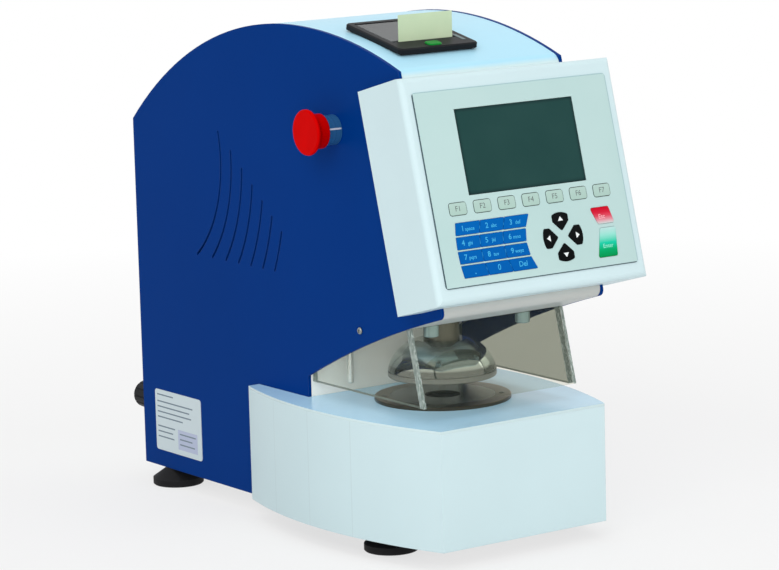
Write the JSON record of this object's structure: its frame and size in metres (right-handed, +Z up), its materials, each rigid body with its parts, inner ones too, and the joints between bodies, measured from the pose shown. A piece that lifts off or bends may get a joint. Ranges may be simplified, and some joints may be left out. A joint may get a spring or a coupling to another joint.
{
  "type": "bursting strength tester",
  "caption": "Bench bursting strength tester for paper and board: blue side plates, curved white cover, tilted keypad head, clear guard, clamp bell over a polished plate.",
  "frame": {"origin": "on the bench, under the middle of the overall box: midway between the side plates and midway between the base front and the rear edge of the side plates", "axes": "+Z up, +Y from the operator to the rear, +X the operator's right"},
  "size_m": [0.2334, 0.5486, 0.4635],
  "materials": {
    "blue_paint": "gloss",
    "white_paint": "gloss",
    "overlay_print": "satin",
    "display": "gloss",
    "circuit_board": "satin",
    "machined_aluminium": "satin",
    "polished_steel": "polished",
    "machined_steel": "machined",
    "black_rubber": "matt",
    "motor_paint": "satin",
    "bronze": "machined",
    "clear_acrylic": "gloss",
    "stop_red": "gloss",
    "black_plastic": "satin",
    "smoked_plastic": "gloss",
    "paper": "matt",
    "grey_key": "satin",
    "blue_key": "satin",
    "black_key": "satin",
    "red_key": "satin",
    "green_key": "satin"
  },
  "bodies": {
    "frame": {"base_plate": "machined_steel", "left_side_plate": "blue_paint", "right_side_plate": "blue_paint", "top_rear_cover": "white_paint", "throat_wall": "white_paint", "front_fascia": "white_paint", "base_skirt": "white_paint", "work_table": "white_paint", "head_housing": "white_paint", "membrane_overlay": "overlay_print", "display_module": "display", "control_board": "circuit_board", "clamp_beam": "machined_aluminium", "guide_rods": "polished_steel", "air_cylinder": "machined_aluminium", "lower_clamp_plate": "polished_steel", "diaphragm": "black_rubber", "pump_body": "machined_steel", "pump_motor": "motor_paint", "guard_panes": "clear_acrylic", "guard_screws": "machined_steel", "stop_base": "polished_steel", "printer_case": "black_plastic", "paper_roll": "paper", "regulator_body": "machined_aluminium", "power_inlet": "black_plastic", "levelling_feet": "black_rubber"},
    "clamp": {"clamp_spindle": "polished_steel", "clamp_bell": "polished_steel"},
    "piston": {"pump_piston": "machined_steel"},
    "nut": {"drive_nut": "bronze"},
    "stop": {"stop_button": "stop_red"},
    "door": {"printer_door": "smoked_plastic"},
    "regulator": {"regulator_knob": "black_plastic"},
    "rocker": {"power_switch": "black_plastic"},
    "function_key_1_cap": {"function_key_1": "grey_key"},
    "function_key_2_cap": {"function_key_2": "grey_key"},
    "function_key_3_cap": {"function_key_3": "grey_key"},
    "function_key_4_cap": {"function_key_4": "grey_key"},
    "function_key_5_cap": {"function_key_5": "grey_key"},
    "function_key_6_cap": {"function_key_6": "grey_key"},
    "function_key_7_cap": {"function_key_7": "grey_key"},
    "number_key_1_cap": {"number_key_1": "blue_key"},
    "number_key_2_cap": {"number_key_2": "blue_key"},
    "number_key_3_cap": {"number_key_3": "blue_key"},
    "number_key_4_cap": {"number_key_4": "blue_key"},
    "number_key_5_cap": {"number_key_5": "blue_key"},
    "number_key_6_cap": {"number_key_6": "blue_key"},
    "number_key_7_cap": {"number_key_7": "blue_key"},
    "number_key_8_cap": {"number_key_8": "blue_key"},
    "number_key_9_cap": {"number_key_9": "blue_key"},
    "point_key_cap": {"point_key": "blue_key"},
    "number_key_0_cap": {"number_key_0": "blue_key"},
    "delete_key_cap": {"delete_key": "blue_key"},
    "arrow_key_up_cap": {"arrow_key_up": "black_key"},
    "arrow_key_left_cap": {"arrow_key_left": "black_key"},
    "arrow_key_down_cap": {"arrow_key_down": "black_key"},
    "arrow_key_right_cap": {"arrow_key_right": "black_key"},
    "escape_key_cap": {"escape_key": "red_key"},
    "enter_key_cap": {"enter_key": "green_key"}
  },
  "joints": [
    {"name": "clamp_lift", "type": "slide", "parent": "frame", "child": "clamp", "axis": [0, 0, 1], "range_m": [-0.0172, 0]},
    {"name": "nut_turn", "type": "hinge", "parent": "frame", "child": "nut", "pos_m": [0, 0.066, 0.072], "axis": [0, 1, 0], "range_deg": [0, 4676.4]},
    {"name": "piston_feed", "type": "slide", "parent": "frame", "child": "piston", "axis": [0, 1, 0], "range_m": [-0.13, 0]},
    {"name": "stop_press", "type": "slide", "parent": "frame", "child": "stop", "axis": [1, 0, 0], "range_m": [0, 0.004], "stiffness_N_per_m": 3000},
    {"name": "printer_door_open", "type": "hinge", "parent": "frame", "child": "door", "pos_m": [-0.024, -0.09142, 0.44917], "axis": [-1, 0, 0], "range_deg": [0, 80]},
    {"name": "regulator_turn", "type": "hinge", "parent": "frame", "child": "regulator", "pos_m": [-0.066, 0.251, 0.0745], "axis": [0, 1, 0], "range_deg": [-720, 720]},
    {"name": "power_rocker", "type": "hinge", "parent": "frame", "child": "rocker", "pos_m": [0.042, 0.2391, 0.095], "axis": [1, 0, 0], "range_deg": [0, 14]},
    {"name": "function_key_1_press", "type": "slide", "parent": "frame", "child": "function_key_1_cap", "axis": [0, 0.9659, -0.2588], "range_m": [0, 0.0004], "stiffness_N_per_m": 4000},
    {"name": "function_key_2_press", "type": "slide", "parent": "frame", "child": "function_key_2_cap", "axis": [0, 0.9659, -0.2588], "range_m": [0, 0.0004], "stiffness_N_per_m": 4000},
    {"name": "function_key_3_press", "type": "slide", "parent": "frame", "child": "function_key_3_cap", "axis": [0, 0.9659, -0.2588], "range_m": [0, 0.0004], "stiffness_N_per_m": 4000},
    {"name": "function_key_4_press", "type": "slide", "parent": "frame", "child": "function_key_4_cap", "axis": [0, 0.9659, -0.2588], "range_m": [0, 0.0004], "stiffness_N_per_m": 4000},
    {"name": "function_key_5_press", "type": "slide", "parent": "frame", "child": "function_key_5_cap", "axis": [0, 0.9659, -0.2588], "range_m": [0, 0.0004], "stiffness_N_per_m": 4000},
    {"name": "function_key_6_press", "type": "slide", "parent": "frame", "child": "function_key_6_cap", "axis": [0, 0.9659, -0.2588], "range_m": [0, 0.0004], "stiffness_N_per_m": 4000},
    {"name": "function_key_7_press", "type": "slide", "parent": "frame", "child": "function_key_7_cap", "axis": [0, 0.9659, -0.2588], "range_m": [0, 0.0004], "stiffness_N_per_m": 4000},
    {"name": "number_key_1_press", "type": "slide", "parent": "frame", "child": "number_key_1_cap", "axis": [0, 0.9659, -0.2588], "range_m": [0, 0.0004], "stiffness_N_per_m": 4000},
    {"name": "number_key_2_press", "type": "slide", "parent": "frame", "child": "number_key_2_cap", "axis": [0, 0.9659, -0.2588], "range_m": [0, 0.0004], "stiffness_N_per_m": 4000},
    {"name": "number_key_3_press", "type": "slide", "parent": "frame", "child": "number_key_3_cap", "axis": [0, 0.9659, -0.2588], "range_m": [0, 0.0004], "stiffness_N_per_m": 4000},
    {"name": "number_key_4_press", "type": "slide", "parent": "frame", "child": "number_key_4_cap", "axis": [0, 0.9659, -0.2588], "range_m": [0, 0.0004], "stiffness_N_per_m": 4000},
    {"name": "number_key_5_press", "type": "slide", "parent": "frame", "child": "number_key_5_cap", "axis": [0, 0.9659, -0.2588], "range_m": [0, 0.0004], "stiffness_N_per_m": 4000},
    {"name": "number_key_6_press", "type": "slide", "parent": "frame", "child": "number_key_6_cap", "axis": [0, 0.9659, -0.2588], "range_m": [0, 0.0004], "stiffness_N_per_m": 4000},
    {"name": "number_key_7_press", "type": "slide", "parent": "frame", "child": "number_key_7_cap", "axis": [0, 0.9659, -0.2588], "range_m": [0, 0.0004], "stiffness_N_per_m": 4000},
    {"name": "number_key_8_press", "type": "slide", "parent": "frame", "child": "number_key_8_cap", "axis": [0, 0.9659, -0.2588], "range_m": [0, 0.0004], "stiffness_N_per_m": 4000},
    {"name": "number_key_9_press", "type": "slide", "parent": "frame", "child": "number_key_9_cap", "axis": [0, 0.9659, -0.2588], "range_m": [0, 0.0004], "stiffness_N_per_m": 4000},
    {"name": "point_key_press", "type": "slide", "parent": "frame", "child": "point_key_cap", "axis": [0, 0.9659, -0.2588], "range_m": [0, 0.0004], "stiffness_N_per_m": 4000},
    {"name": "number_key_0_press", "type": "slide", "parent": "frame", "child": "number_key_0_cap", "axis": [0, 0.9659, -0.2588], "range_m": [0, 0.0004], "stiffness_N_per_m": 4000},
    {"name": "delete_key_press", "type": "slide", "parent": "frame", "child": "delete_key_cap", "axis": [0, 0.9659, -0.2588], "range_m": [0, 0.0004], "stiffness_N_per_m": 4000},
    {"name": "arrow_key_up_press", "type": "slide", "parent": "frame", "child": "arrow_key_up_cap", "axis": [0, 0.9659, -0.2588], "range_m": [0, 0.0004], "stiffness_N_per_m": 4000},
    {"name": "arrow_key_left_press", "type": "slide", "parent": "frame", "child": "arrow_key_left_cap", "axis": [0, 0.9659, -0.2588], "range_m": [0, 0.0004], "stiffness_N_per_m": 4000},
    {"name": "arrow_key_down_press", "type": "slide", "parent": "frame", "child": "arrow_key_down_cap", "axis": [0, 0.9659, -0.2588], "range_m": [0, 0.0004], "stiffness_N_per_m": 4000},
    {"name": "arrow_key_right_press", "type": "slide", "parent": "frame", "child": "arrow_key_right_cap", "axis": [0, 0.9659, -0.2588], "range_m": [0, 0.0004], "stiffness_N_per_m": 4000},
    {"name": "escape_key_press", "type": "slide", "parent": "frame", "child": "escape_key_cap", "axis": [0, 0.9659, -0.2588], "range_m": [0, 0.0004], "stiffness_N_per_m": 4000},
    {"name": "enter_key_press", "type": "slide", "parent": "frame", "child": "enter_key_cap", "axis": [0, 0.9659, -0.2588], "range_m": [0, 0.0004], "stiffness_N_per_m": 4000}
  ],
  "couplings": [
    {"joint": "piston_feed", "follows": "nut_turn", "m_per_rad": -0.0015915}
  ]
}
